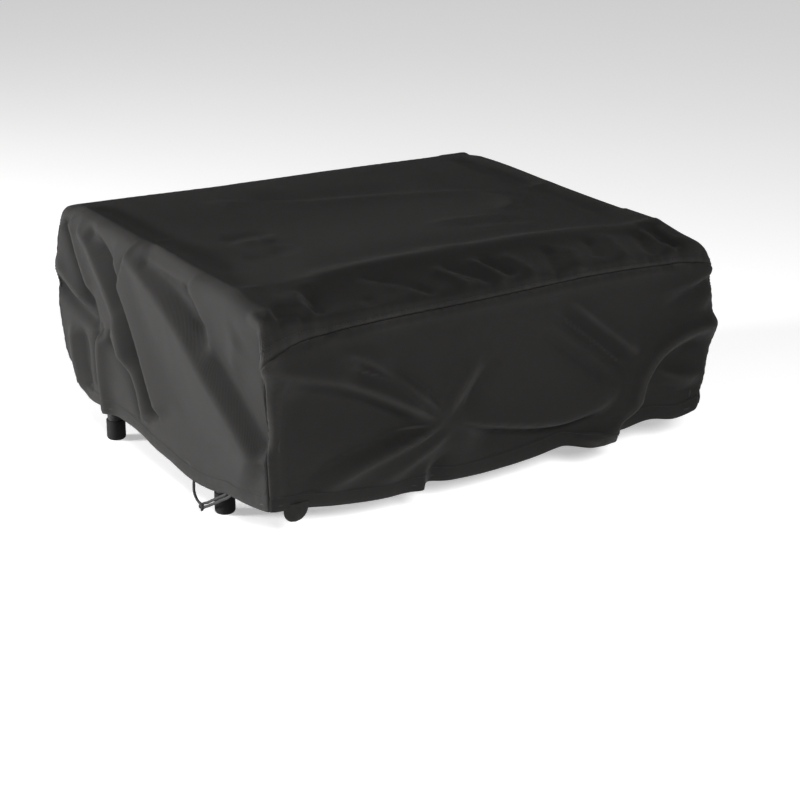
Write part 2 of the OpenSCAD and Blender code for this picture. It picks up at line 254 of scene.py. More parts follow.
def end_panel(rim, hem, pull, front):
    """Grid of the front or rear panel inside the wrap panel's end row."""
    across_top = CELLS_UP + CELLS_OVER
    left, over, right = rim[: CELLS_UP + 1], rim[CELLS_UP : across_top + 1], rim[across_top:][::-1]
    bottom_x = np.linspace(left[0, 0], right[0, 0], CELLS_OVER + 1)
    bottom = np.stack([bottom_x, np.full_like(bottom_x, left[0, 1]), through(hem, bottom_x)], axis=1)
    bottom[0], bottom[-1] = left[0], right[0]
    s = np.linspace(0, 1, CELLS_OVER + 1)[:, None, None]
    t = np.linspace(0, 1, CELLS_UP + 1)[None, :, None]
    corners = (1 - s) * ((1 - t) * left[0] + t * over[0]) + s * ((1 - t) * right[0] + t * over[-1])
    sides = (1 - s) * left[None] + s * right[None]
    grid = sides + (1 - t) * bottom[:, None] + t * over[:, None] - corners
    x, z = grid[..., 0], grid[..., 2]
    beside = np.minimum(x - left[None, :, 0], right[None, :, 0] - x)
    under = over[:, None, 2] - z
    turn = corner_turn(np.minimum(beside, under), CORNER_R)
    share = (z - bottom[:, None, 2]) / (over[:, None, 2] - bottom[:, None, 2])
    out = HALF_Y - turn + wall_out(share, through(pull, x)) * ease(0, 30, beside) * ease(0, 30, under)
    grid[..., 1] = front * out
    grid[0], grid[-1], grid[:, -1] = left, right, over
    return grid


def resting_grids():
    y = np.linspace(-SEAM_Y, SEAM_Y, CELLS_BACK + 1)
    wrap = np.stack([wrap_row(v) for v in y], axis=1)
    front = end_panel(wrap[:, 0], HEM_FRONT, PULL_FRONT, -1)
    return wrap, front, end_panel(wrap[:, -1], HEM_REAR, PULL_REAR, 1)


wrap_grid, front_grid, rear_grid = resting_grids()


# ---------------------------------------------------------------- one mesh for the whole cloth
class Cloth:
    """The three panels as one welded sheet: points in mm, and the faces of each panel."""

    def __init__(self, wrap, front, rear):
        n, m, _ = wrap.shape
        self.wrap = np.arange(n * m).reshape(n, m)
        self.points = wrap.reshape(-1, 3).copy()
        self.front = self.weld(front, 0)
        self.rear = self.weld(rear, m - 1)

    def weld(self, grid, column):
        """Index grid of an end panel whose left, top and right edges are the wrap panel's own points."""
        a, b, _ = grid.shape
        index = np.full((a, b), -1)
        index[0] = self.wrap[:b, column]
        index[:, -1] = self.wrap[b - 1 : b - 1 + a, column]
        index[-1] = self.wrap[b - 2 + a :, column][::-1]
        free = index < 0
        index[free] = len(self.points) + np.arange(free.sum())
        self.points = np.vstack([self.points, grid[free]])
        return index

    def faces(self):
        flip = {"wrap": False, "front": False, "rear": True}
        for panel, turned in flip.items():
            g = getattr(self, panel)
            quad = np.stack([g[:-1, :-1], g[1:, :-1], g[1:, 1:], g[:-1, 1:]], axis=-1).reshape(-1, 4)
            yield panel, quad[:, ::-1] if turned else quad

    def normals(self):
        normal = np.zeros_like(self.points)
        for _, quad in self.faces():
            p = self.points[quad]
            n = np.cross(p[:, 2] - p[:, 0], p[:, 3] - p[:, 1])
            for k in range(4):
                np.add.at(normal, quad[:, k], n)
        return unit(normal)


cloth = Cloth(wrap_grid, front_grid, rear_grid)
BASE, OUT = cloth.points.copy(), cloth.normals()

# Each face of the cover: the two axes that its folds are drawn along, and the way it looks
FACES = {
    "left": ((1, 2), (-1, 0, 0)),
    "right": ((1, 2), (1, 0, 0)),
    "front": ((0, 2), (0, -1, 0)),
    "rear": ((0, 2), (0, 1, 0)),
    "roof": ((0, 1), (0, 0, 1)),
    "nose": ((0, 1), (0, 0, 1)),
}


def across(line, at):
    """Signed distance of each point from a line (left of its run is plus), and how far along it lies."""
    start, step = line[:-1], np.diff(line, axis=0)
    length = np.linalg.norm(step, axis=1)
    run = length_along(line)
    best = np.full(len(at), np.inf)
    side, along = np.zeros(len(at)), np.zeros(len(at))
    for k in range(len(step)):
        off = at - start[k]
        t = np.clip(off @ step[k] / length[k] ** 2, 0, 1)
        gap = off - t[:, None] * step[k]
        far = np.linalg.norm(gap, axis=1)
        nearer = far < best
        best[nearer] = far[nearer]
        turn = step[k, 0] * off[:, 1] - step[k, 1] * off[:, 0]
        side[nearer] = np.sign(turn[nearer])
        along[nearer] = run[k] + t[nearer] * length[k]
    return best * side, along, run[-1]


FACING = {face: ease(0.12, 0.75, OUT @ np.array(way, float)) for face, (_, way) in FACES.items()}
GAIN = {"left": 1.35, "right": 1.0, "front": 1.6, "rear": 1.1, "roof": 1.0, "nose": 1.8}
lift = np.zeros(len(BASE))


FOLD_STEPS = 7                      # straight pieces that each stretch of a fold's line is drawn with
FOLD_REACH = 3.2                    # a fold is worked out this many of its widths away


def fold(face, height, left, right, points, ends=(25, 25), power=1.5, grow=(1, 1)):
    """Ridge (or valley, below zero) along a line on a face.

    left and right are its widths each side, ends the lengths over which it dies away at its two
    ends, and grow what its widths are multiplied by at its start and end.
    """
    axes, _ = FACES[face]
    line = curve(points, FOLD_STEPS)
    reach = FOLD_REACH * max(left, right) * max(grow)
    at = BASE[:, axes]
    inside = np.all((at > line.min(0) - reach) & (at < line.max(0) + reach), axis=1)
    near = (FACING[face] > 0) & inside
    side, along, total = across(line, at[near])
    width = np.where(side > 0, left, right) * (grow[0] + (grow[1] - grow[0]) * along / total)
    shape = np.exp(-np.abs(side / width) ** power)
    taper = ease(0, ends[0], along + 0.01) * ease(0, ends[1], total - along + 0.01)
    lift[near] += GAIN[face] * height * shape * taper * FACING[face][near]


# ---------------------------------------------------------------- folds, drawn on each face
# Each is what fold takes after its face. Points on the left and right walls are (place along Y, height),
# and their lines run downwards.
LEFT_FOLDS = [
    (8, 46, 9, [(58, 246), (19, 228), (-56, 194), (-126, 152), (-194, 112), (-232, 82)], (10, 25), 1.7),
    (-9, 9, 34, [(34, 250), (-6, 238), (-72, 208), (-142, 166), (-202, 128), (-236, 100)], (20, 20), 1.6),
    (5, 9, 16, [(-72, 244), (-98, 222), (-122, 194)], (15, 30)),
    (-5, 8, 9, [(-58, 240), (-80, 220), (-104, 192)], (12, 25)),
    (-9, 13, 6, [(161, 252), (119, 231), (77, 191), (52, 152), (27, 109), (-1, 67)], (15, 20), 1.6),
    (6, 6, 26, [(96, 246), (64, 200), (40, 158), (16, 116), (-10, 72)], (25, 20), 1.7),
    (6, 11, 10, [(186, 252), (150, 226), (108, 186), (80, 148), (56, 110)], (15, 25)),
    (-8, 10, 6, [(121, 141), (89, 123), (58, 96), (41, 58)], (14, 10)),
    (6, 7, 16, [(106, 150), (74, 128), (44, 98), (24, 58)], (14, 10)),
    (-8, 9, 11, [(244, 184), (210, 160), (157, 140), (124, 134)], (30, 20)),
    (5, 12, 9, [(240, 206), (206, 180), (164, 158)], (25, 25)),
    (-8, 8, 11, [(225, 251), (194, 210), (160, 160), (152, 120), (156, 62)], (10, 10)),
    (6, 8, 10, [(212, 252), (184, 214), (152, 168)], (10, 25)),
    (8, 10, 12, [(141, 142), (136, 90), (132, 34)], (15, 2), 1.7),
    (-5, 9, 9, [(188, 134), (184, 96), (190, 50)], (20, 4)),
    (5, 9, 10, [(206, 134), (208, 94), (214, 50)], (20, 4)),
    (4, 20, 16, [(-190, 216), (-176, 190), (-172, 160)], (15, 25)),
]

# Front, as (place along X, height). Most of the folds meet at one pinch in the cloth.
PINCH = (-75, 103)
TO, FROM = (1.5, 0.5), (0.5, 1.6)   # narrowing towards the pinch, and widening from it
FRONT_FOLDS = [
    (11, 24, 12, [(-298, 204), (-262, 186), (-203, 167), (-145, 139), PINCH], (6, 60), 1.6, (1.2, 0.6)),
    (-8, 10, 30, [(-276, 170), (-192, 146), (-100, 98)], (45, 50), 1.7, TO),
    (7, 12, 8, [(-224, 206), (-180, 188), (-140, 158), (-74, 106)], (40, 50), 1.5, TO),
    (-8, 8, 11, [(-206, 186), (-150, 163), (-110, 131), (-77, 105)], (35, 40), 1.5, TO),
    (-5, 10, 10, [(-160, 194), (-106, 146), (-71, 108)], (45, 40), 1.5, TO),
    (7, 7, 14, [PINCH, (-118, 90), (-181, 74), (-236, 50)], (40, 50), 1.5, FROM),
    (-6, 10, 10, [(-80, 104), (-145, 97), (-204, 84), (-254, 58)], (35, 50), 1.5, FROM),
    (5, 9, 10, [(-66, 90), (-108, 73), (-170, 46)], (35, 40), 1.5, FROM),
    (8, 28, 8, [PINCH, (-19, 88), (40, 77), (95, 76), (160, 92)], (40, 50), 1.6, (0.6, 1.2)),
    (-7, 7, 18, [(-50, 86), (10, 69), (70, 61), (130, 74)], (45, 40), 1.6),
    (6, 9, 9, [PINCH, (-64, 133), (-30, 170)], (30, 40), 1.5, FROM),
    (-4, 9, 9, [(-58, 104), (-34, 138), (0, 168)], (30, 40), 1.5, FROM),
    (-7, 9, 10, [(50, 210), (119, 155), (180, 106)], (50, 40)),
    (6, 9, 9, [(70, 216), (132, 166), (192, 122)], (50, 40)),
    (-4, 8, 9, [(30, 190), (92, 144), (152, 98)], (50, 40)),
    (12, 9, 24, [(84, 40), (138, 50), (170, 70), (183, 104), (206, 130), (248, 145),
     (300, 152)], (30, 26), 1.7),
    (-13, 20, 32, [(150, 34), (198, 60), (210, 92), (236, 112), (292, 122)], (20, 34), 2),
    (7, 10, 12, [(206, 104), (246, 90), (288, 88)], (30, 30)),
    (-5, 10, 10, [(216, 76), (250, 66), (288, 68)], (30, 30)),
    (5, 8, 12, [(296, 214), (254, 198), (190, 190)], (24, 60)),
    (-5, 8, 8, [(296, 204), (258, 188), (206, 176)], (28, 50)),
    (4, 12, 10, [(292, 194), (268, 172), (240, 146)], (28, 40)),
    (-6, 14, 10, [(-90, 28), (-84, 46), (-66, 72)], (2, 30), 1.5, (1.2, 0.6)),
    (5, 10, 10, [(-108, 26), (-104, 46), (-90, 70)], (2, 30), 1.5, (1.2, 0.6)),
    (1.5, 60, 60, [(-200, 120), (0, 140), (200, 150)], (60, 60), 2),
    (2.0, 5, 5, [(-272, 196), (-273, 120), (-273, 52)], (20, 20), 2),
    (1.6, 5, 6, [(-262, 198), (-213, 208), (-131, 212), (30, 215), (180, 216), (250, 211)], (30, 30), 2),
]

# Roof and nose, as (place along X, place along Y)
ROOF_FOLDS = [
    *[(2.5, 12, 12, [(side * 273, -205), (side * 274, 0),
     (side * 274, 215)], (40, 30), 2) for side in (-1, 1)],
    *[(-2.5, 16, 16, [(side * 243, -120), (side * 248, 40),
     (side * 250, 205)], (60, 30), 2) for side in (-1, 1)],
    (2.0, 10, 18, [(-150, 160), (-96, 130), (-45, 102), (33, 85), (92, 67), (150, 47), (180, 14),
     (166, -26), (120, -38)], (40, 40), 1.7),
    (-2.0, 24, 12, [(-90, 152), (-30, 124), (50, 106), (120, 84)], (50, 50), 2),
    (-1.7, 9, 12, [(-198, -4), (-176, 10), (-152, 10), (-138, -6)], (18, 18)),
    (2.0, 9, 15, [(-206, -24), (-178, -16), (-148, -24)], (20, 20), 2),
    (-1.6, 14, 12, [(-214, -62), (-176, -70), (-140, -52)], (20, 20), 2),
    (1.6, 10, 12, [(16, -58), (70, -57), (136, -68)], (30, 30)),
    (-1.4, 10, 12, [(40, -80), (92, -84), (150, -98)], (30, 30)),
    (1.4, 8, 8, [(-48, -134), (-22, -144), (10, -148)], (18, 18)),
    (-2.0, 24, 14, [(-180, -128), (-60, -134), (60, -134), (180, -130)], (60, 60), 2),
    (3.0, 16, 14, [(-250, -206), (-206, -178), (-157, -160), (-60, -160), (30, -160), (137, -158),
     (216, -162), (262, -180)], (20, 20), 1.8),
]
NOSE_FOLDS = [
    (-4.5, 7, 7, [(-197, -168), (-208, -198), (-212, -216), (-211, -240)], (20, 2), 1.3),
    (2.5, 10, 10, [(-212, -176), (-226, -202), (-230, -226)], (18, 12)),
    (-6.0, 12, 14, [(-268, -219), (-250, -224), (-226, -234)], (10, 14), 2),
    (3.0, 5, 6, [(-281, -196), (-282, -214), (-282, -232)], (20, 6), 1.7),
    (-3.0, 7, 9, [(231, -172), (222, -193), (213, -216), (204, -238)], (14, 6)),
    (3.0, 8, 8, [(238, -172), (238, -199), (236, -219), (231, -240)], (14, 6)),
    (-5.0, 7, 9, [(244, -156), (249, -175), (247, -208), (245, -239)], (14, 6)),
    (2.5, 7, 9, [(259, -170), (257, -205), (266, -227), (276, -236)], (14, 8)),
    (-2.5, 8, 8, [(99, -178), (91, -192), (78, -219), (74, -238)], (14, 10)),
    (1.8, 12, 12, [(120, -180), (114, -205), (104, -236)], (20, 6)),
    (-2.0, 8, 8, [(158, -170), (150, -194), (140, -222)], (16, 14)),
    (1.8, 10, 10, [(186, -168), (180, -195), (170, -236)], (16, 8)),
    (-2.4, 8, 8, [(-146, -174), (-124, -176), (-108, -194), (-88, -213), (-78, -230)], (20, 12)),
    (1.8, 8, 10, [(-124, -190), (-100, -204), (-96, -230)], (14, 10)),
    (-2.4, 7, 7, [(-44, -176), (-26, -194), (-12, -214), (-10, -238)], (14, 8)),
    (2.0, 8, 8, [(-60, -180), (-44, -200), (-34, -230)], (16, 8)),
    (-3.0, 6, 7, [(6, -174), (19, -200), (25, -224)], (14, 10)),
    (2.2, 7, 7, [(-8, -176), (4, -204), (8, -234)], (14, 8)),
    (1.8, 9, 9, [(34, -176), (44, -204), (48, -236)], (16, 8)),
    (-1.6, 8, 8, [(-150, -204), (-152, -222), (-150, -238)], (12, 6)),
]

RIGHT_FOLDS = [
    (7, 24, 10, [(-222, 196), (-180, 176), (-120, 138), (-64, 92)], (40, 25)),
    (-5, 10, 20, [(-212, 178), (-160, 146), (-92, 92)], (40, 25)),
    (5, 10, 10, [(-64, 94), (-86, 74), (-98, 40)], (34, 14)),
    (-5, 9, 9, [(-60, 96), (-50, 70), (-46, 38)], (34, 14)),
    (7, 12, 18, [(-36, 232), (-20, 200), (-34, 150), (-60, 96)], (40, 20)),
    (-7, 14, 14, [(8, 230), (0, 190), (-22, 144), (-56, 94)], (40, 20)),
    (6, 30, 32, [(60, 200), (40, 140), (20, 80)], (50, 40), 2),
    (-7, 12, 16, [(122, 232), (112, 190), (120, 140), (142, 84)], (40, 20)),
    (7, 10, 14, [(156, 232), (150, 194), (148, 145), (150, 60)], (40, 16)),
    (-5, 10, 10, [(190, 230), (180, 204), (160, 164), (156, 120)], (40, 25)),
    (4, 9, 10, [(212, 230), (204, 204), (194, 166)], (30, 25)),
    (-4, 9, 10, [(238, 180), (214, 152), (176, 132)], (30, 20)),
    (-4, 9, 9, [(92, 90), (84, 64), (80, 36)], (34, 14)),
    (4, 9, 9, [(-170, 96), (-176, 66), (-176, 36)], (34, 14)),
    (-4, 9, 9, [(-196, 104), (-204, 74), (-204, 40)], (36, 14)),
]

# Rear wall, as (place along X, height)
REAR_FOLDS = [
    (9, 26, 9, [(296, 236), (240, 206), (160, 176), (70, 116)], (30, 30)),
    (-7, 9, 20, [(270, 200), (180, 164), (84, 102)], (40, 30)),
    (8, 9, 26, [(-296, 238), (-236, 214), (-150, 186), (-60, 132)], (30, 30)),
    (-7, 20, 9, [(-262, 200), (-170, 168), (-70, 112)], (40, 30)),
    (-6, 30, 24, [(-110, 236), (0, 222), (120, 238)], (60, 60), 2),
    (6, 12, 12, [(70, 118), (40, 84), (30, 38)], (36, 14)),
    (-6, 10, 12, [(82, 110), (96, 74), (98, 38)], (36, 14)),
    (6, 12, 10, [(-62, 130), (-44, 84), (-46, 40)], (36, 14)),
    (-6, 10, 10, [(-72, 118), (-98, 78), (-104, 40)], (36, 14)),
    (7, 22, 10, [(-44, 120), (10, 96), (68, 112)], (40, 40)),
    (-5, 10, 18, [(-40, 100), (10, 80), (60, 92)], (40, 40)),
    (5, 10, 10, [(190, 120), (200, 80), (206, 36)], (50, 14)),
    (-5, 10, 10, [(230, 130), (244, 84), (246, 44)], (50, 14)),
    (5, 10, 10, [(-196, 128), (-206, 84), (-204, 40)], (50, 14)),
    (-5, 10, 10, [(-238, 132), (-250, 90), (-248, 44)], (50, 14)),
]

ALL_FOLDS = {"left": LEFT_FOLDS, "front": FRONT_FOLDS, "roof": ROOF_FOLDS, "nose": NOSE_FOLDS,
             "right": RIGHT_FOLDS, "rear": REAR_FOLDS}
for face, folds in ALL_FOLDS.items():
    for shape in folds:
        fold(face, *shape)


def slack(points):
    """Uneven slackness of the cloth: a few broad waves, always the same."""
    x, y, z = points.T
    broad = np.sin(x / 47 + y / 83 + z / 61) + np.sin(y / 39 - z / 57 + 1.7) + np.sin(x / 71 - z / 33 + 0.6)
    return 0.35 * broad


lift += slack(BASE)
cloth.points = BASE + OUT * lift[:, None]


def make_object(name, points, faces, weave=None):
    """Smooth-shaded object from points in mm, with its place on the flat cloth where it is woven."""
    mesh = bpy.data.meshes.new(name)
    mesh.from_pydata((np.asarray(points) * MM).tolist(), [], faces)
    mesh.polygons.foreach_set("use_smooth", [True] * len(mesh.polygons))
    if weave is not None:
        threads = mesh.attributes.new("weave", "FLOAT_VECTOR", "POINT")
        threads.data.foreach_set("vector", (weave * MM).ravel())
    obj = bpy.data.objects.new(name, mesh)
    bpy.context.collection.objects.link(obj)
    return obj


def hold():
    """How firmly each point is held: firmly over the tubes and seams, loosely in the open cloth."""
    x, y, z = BASE.T
    edge = np.minimum(np.abs(np.abs(x) - 272), np.abs(np.abs(y) - 228))
    over_tubes = FACING["roof"] * (1 - ease(4, 22, np.minimum(edge, np.abs(y - RIDGE_Y))))
    seam = np.zeros(len(BASE))
    seam[cloth.wrap[:, 0]] = seam[cloth.wrap[:, -1]] = 1
    hem = 1 - ease(8, 20, z - z_low)
    open_cloth = 0.12 + 0.3 * FACING["roof"]
    return np.clip(np.maximum.reduce([over_tubes * 0.9, seam * 0.85, hem * 0.6, open_cloth]), 0, 1)


SETTLED = 0.5                       # how far the cloth moves from its drawn to its settled shape
CALM_ROUNDS = 5                     # smooths out ripples no wider than the cloth's mesh
quads = np.vstack([quad for _, quad in cloth.faces()])
edge_a = np.concatenate([quads[:, k] for k in range(4)])
edge_b = np.concatenate([quads[:, (k + 1) % 4] for k in range(4)])
edge_a, edge_b = np.concatenate([edge_a, edge_b]), np.concatenate([edge_b, edge_a])
edge_count = np.bincount(edge_a, minlength=len(BASE))


def beside_mean(values):
    """Mean of a value over each point's neighbours in the cloth."""
    columns = np.atleast_2d(values.T)
    sums = [np.bincount(edge_a, column[edge_b], len(BASE)) for column in columns]
    return (np.array(sums) / edge_count).T.reshape(values.shape)


def settle(frames=20):
    """Lets Blender's cloth solver find its own creases around the folds drawn above."""
    obj = make_object("settling", cloth.points, quads.tolist())
    for group_name, weights in (("held", hold()), ("taut", FACING["roof"])):
        group = obj.vertex_groups.new(name=group_name)
        for index, weight in enumerate(weights):
            group.add([index], float(weight), "REPLACE")
    cloth_mod = obj.modifiers.new("cloth", "CLOTH")
    fabric = cloth_mod.settings
    fabric.quality, fabric.mass, fabric.effector_weights.gravity = 5, 0.2, 0.12
    fabric.tension_stiffness = fabric.compression_stiffness = 25
    fabric.shear_stiffness, fabric.bending_stiffness = 12, 6
    fabric.tension_damping = fabric.compression_damping = fabric.shear_damping = 10
    fabric.air_damping, fabric.pin_stiffness = 3, 1.0
    fabric.shrink_min, fabric.shrink_max = -0.005, 0.0
    fabric.vertex_group_mass, fabric.vertex_group_shrink = "held", "taut"
    cloth_mod.collision_settings.use_collision = False
    cloth_mod.collision_settings.use_self_collision = False
    cloth_mod.point_cache.frame_end = frames
    scene = bpy.context.scene
    for step in range(1, frames + 1):
        scene.frame_set(step)
    done = obj.evaluated_get(bpy.context.evaluated_depsgraph_get())
    co = np.empty(len(BASE) * 3, np.float32)
    done.data.vertices.foreach_get("co", co)
    moved = co.reshape(-1, 3).astype(float) / MM - cloth.points
    for _ in range(CALM_ROUNDS):
        moved = (moved + beside_mean(moved)) / 2
    cloth.points += SETTLED * moved
    bpy.data.objects.remove(obj)
    scene.frame_set(1)


z_low = np.where(np.abs(OUT[:, 0]) > np.abs(OUT[:, 1]),
                 np.where(BASE[:, 0] < 0, through(HEM_LEFT, BASE[:, 1]), through(HEM_RIGHT, BASE[:, 1])),
                 np.where(BASE[:, 1] < 0, through(HEM_FRONT, BASE[:, 0]), through(HEM_REAR, BASE[:, 0])))
settle()


def stand_surface():
    """The stand's own meshes as one searchable surface, in metres."""
    points, faces = [], []
    for part in frame["record"]["subparts"]:
        if part.get("material_slot") in STAND_SLOTS:
            node = frame["nodes"][part["node"]]
            first = len(points)
            points += [node.matrix_world @ vertex.co for vertex in node.data.vertices]
            faces += [[first + k for k in face.vertices] for face in node.data.polygons]
    return BVHTree.FromPolygons(points, faces)


def drape_over_stand():
    """Keeps the cloth clear of every tube and fitting, easing it off around them as cloth would."""
    surface = stand_surface()
    gap = np.where(BASE[:, 2] - z_low < HEM_TALL + 4, HEM_GAP, CLOTH_GAP)
    need = np.zeros(len(BASE))
    for k, (point, out) in enumerate(zip(cloth.points, OUT)):
        start = Vector((point + out * LOOK_FROM) * MM)
        far = surface.ray_cast(start, Vector(-out), (LOOK_FROM + gap[k]) * MM)[3]
        if far is not None:
            need[k] = LOOK_FROM + gap[k] - far / MM
    push = need.copy()
    for _ in range(EASE_ROUNDS):
        push = np.maximum(need, beside_mean(push))
    cloth.points += OUT * push[:, None]


STAND_SLOTS = ("tube_metal", "fitting_plastic", "foot_rubber", "screw_steel")
LOOK_FROM = 16                      # start of the search for the stand, this far outside the cloth
CLOTH_GAP, HEM_GAP = 2.4, 4.2       # least distance from the stand to the cloth and to the hem
EASE_ROUNDS = 10                    # how widely the cloth eases off around what it rests on
HEM_TALL = 17                       # height of the hem's channel
drape_over_stand()


# ---------------------------------------------------------------- cloth panels at full detail
CLOTH_THICK = 0.8
CELL = 2.5                          # width of a fine cell of cloth
SEAM_SINK = 1.9                     # depth of the groove where two panels meet


def finer(line):
    """Twice as many cells along the first axis, on a smooth curve through the old points."""
    ends = np.concatenate([2 * line[:1] - line[1:2], line, 2 * line[-1:] - line[-2:-1]])
    middle = (-ends[:-3] + 9 * ends[1:-2] + 9 * ends[2:-1] - ends[3:]) / 16
    out = np.empty((2 * len(line) - 1,) + line.shape[1:])
    out[::2], out[1::2] = line, middle
    return out


def finer_grid(grid):
    return np.swapaxes(finer(np.swapaxes(finer(grid), 0, 1)), 0, 1)


def edge_rows(grid, share=0.4):
    """Adds a row close to each border, so that a border can turn in sharply."""
    return np.concatenate([grid[:1], grid[:1] * (1 - share) + grid[1:2] * share, grid[1:-1],
                           grid[-1:] * (1 - share) + grid[-2:-1] * share, grid[-1:]])


def edge_rows_grid(grid):
    return np.swapaxes(edge_rows(np.swapaxes(edge_rows(grid), 0, 1)), 0, 1)


def grid_normals(grid):
    return unit(np.cross(np.gradient(grid, axis=0), np.gradient(grid, axis=1)))


def pucker(count, seed):
    """Uneven little gathers along a sewn line, about -1 to 1."""
    s = np.arange(count) * CELL
    return (np.sin(s / 1.9 + 1.3 * np.sin(s / 11 + seed)) + 0.6 * np.sin(s / 4.3 + seed * 2.1)) / 1.6


RIPPLE, RIPPLE_FADE, RIPPLE_CELLS = 0.75, 6.0, 8


def near_seams(grid, sides):
    """Ripples in the cloth beside each sewn border; sides says which borders are sewn."""
    ripple = np.zeros(grid.shape[:2])
    fade = RIPPLE * np.exp(-np.arange(RIPPLE_CELLS) * CELL / RIPPLE_FADE)
    for k, side in enumerate(sides):
        rows = ripple if side in ("start", "end") else ripple.T
        wave = pucker(rows.shape[1], k if rows is ripple else k + 5)
        for step in range(RIPPLE_CELLS):
            rows[step if side in ("start", "low") else -1 - step] += wave * fade[step]
    return grid + grid_normals(grid) * ripple[..., None]


def thick_sheet(name, grid, weave):
    """Closed mesh of a panel: a fine outside, a coarser inside and a rim between them."""
    n, m, _ = grid.shape
    inner = (grid - CLOTH_THICK * grid_normals(grid))[::2, ::2]
    a, b, _ = inner.shape
    o = np.arange(n * m).reshape(n, m)
    i = n * m + np.arange(a * b).reshape(a, b)
    faces = np.stack([o[:-1, :-1], o[1:, :-1], o[1:, 1:], o[:-1, 1:]], -1).reshape(-1, 4).tolist()
    faces += np.stack([i[:-1, :-1], i[:-1, 1:], i[1:, 1:], i[1:, :-1]], -1).reshape(-1, 4).tolist()
    rims = (o[0], i[0]), (o[-1, ::-1], i[-1, ::-1]), (o[::-1, 0], i[::-1, 0]), (o[:, -1], i[:, -1])
    for fine, coarse in rims:
        for k in range(len(coarse) - 1):
            faces.append([fine[2 * k], fine[2 * k + 1], fine[2 * k + 2], coarse[k + 1], coarse[k]])
    flat = np.vstack([weave.reshape(-1, 3), weave[::2, ::2].reshape(-1, 3)])
    return make_object(name, np.vstack([grid.reshape(-1, 3), inner.reshape(-1, 3)]), faces, flat)


def panel(name, index, base, sewn, turn):
    """A panel at full detail, its sewn borders sunk into their grooves."""
    welded_out = cloth.normals()
    loose = cloth.points[index]
    sunk = loose - SEAM_SINK * welded_out[index]
    weave = base[index]
    if turn:
        loose, sunk, weave = loose[::-1], sunk[::-1], weave[::-1]
    grid = near_seams(edge_rows_grid(finer_grid(loose)), sewn)
    low = edge_rows_grid(finer_grid(sunk))
    borders = {"start": np.s_[0], "end": np.s_[-1], "low": np.s_[:, 0], "high": np.s_[:, -1]}
    for side in sewn:
        grid[borders[side]] = low[borders[side]]
    return thick_sheet(name, grid, edge_rows_grid(finer_grid(weave))), grid


def weave_map():
    """Where each point lies on the flat cloth, in mm, so that the threads follow the panels."""
    flat = np.zeros_like(BASE)
    steps = np.linalg.norm(np.diff(wrap_grid, axis=0), axis=2)
    run = np.vstack([np.zeros((1, steps.shape[1])), np.cumsum(steps, axis=0)])
    flat[cloth.wrap, 0] = run - run.mean(axis=0)
    flat[cloth.wrap, 1] = wrap_grid[..., 1]
    for index in (cloth.front, cloth.rear):
        inside = index[1:-1, :-1]
        flat[inside, 0] = BASE[inside, 0]
        flat[inside, 1] = BASE[inside, 2]
    return flat


WEAVE = weave_map()
UPRIGHT = BASE[:, (0, 2, 1)]
SEWN_ENDS = ("start", "end", "high")
wrap_piece, wrap_fine = panel("cover_wrap", cloth.wrap, WEAVE, ("low", "high"), False)
front_piece, front_fine = panel("cover_front", cloth.front, UPRIGHT, SEWN_ENDS, False)
rear_piece, rear_fine = panel("cover_rear", cloth.rear, UPRIGHT, SEWN_ENDS, True)
for piece, node in ((wrap_piece, "wrap_panel"), (front_piece, "front_panel"), (rear_piece, "rear_panel")):
    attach(piece, "cover")
    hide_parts(node)


# ---------------------------------------------------------------- hem, stitches, tape and cord
def swept(name, centre, across_a, across_b, outline, closed=False):
    """Sweeps a closed outline of (a, b) points along a centre line with its two cross directions.

    The outline is one (count, 2) array, or one for every point of the line.
    """
    outline = np.asarray(outline, float)
    if outline.ndim == 2:
        outline = np.repeat(outline[None], len(centre), axis=0)
    rings = centre[:, None] + across_a[:, None] * outline[..., :1] + across_b[:, None] * outline[..., 1:]
    n, k, _ = rings.shape
    index = np.arange(n * k).reshape(n, k)
    after = np.roll(index, -1, axis=1)
    rows = np.arange(n if closed else n - 1)
    ahead = (rows + 1) % n
    sides = np.stack([index[rows], index[ahead], after[ahead], after[rows]], axis=-1)
    faces = sides.reshape(-1, 4).tolist()
    if not closed:
        faces += [index[0].tolist(), index[-1, ::-1].tolist()]
    run, round_it = length_along(centre), length_along(outline[0])
    flat = np.stack(np.broadcast_arrays(run[:, None], round_it[None], 0.0), axis=-1)
    return make_object(name, rings.reshape(-1, 3), faces, flat.reshape(-1, 3))


HEM_OUTLINE = [
    (HEM_TALL, 0.1), (HEM_TALL - 1, 0.35), (13, 0.5), (9, 1.1), (5, 1.2), (2, 0.9), (-0.4, 0.4),
    (-0.6, -0.9), (1, -2.1), (5, -2.8), (9, -2.8), (13, -2.0), (HEM_TALL - 1, -1.3), (HEM_TALL, -1.0),
]


def hem_frame(fine, side):
    """Lower edge of a panel with its upward and outward directions."""
    at, above, between = {"start": (0, 7, 3), "end": (-1, -8, -4),
                          "low": (np.s_[:, 0], np.s_[:, 7], np.s_[:, 3])}[side]
    edge, normal = fine[at], grid_normals(fine)[between]
    up = unit(fine[above] - edge)
    out = unit(normal - up * np.sum(normal * up, axis=1, keepdims=True))
    return edge, up, out


def gathers(line, seed):
    """Share by which the hem puffs out between its gathers, along a line."""
    run = length_along(line)
    wave = np.sin(run / 2.9 + 2.6 * np.sin(run / 23 + seed)) + 0.8 * np.sin(run / 7.3 + 3 * seed)
    fade = 0.5 + 0.5 * np.sin(run / 31 + 2 * seed) * np.sin(run / 13 + seed)
    return 1 + 0.16 * wave * fade


def hem_band(name, fine, side, seed):
    edge, up, out = hem_frame(fine, side)
    puff = gathers(edge, seed)
    outline = np.array(HEM_OUTLINE)[None] * np.stack([1 + 0.12 * (puff - 1), puff], axis=1)[:, None]
    return swept(name, edge, up, out, outline)


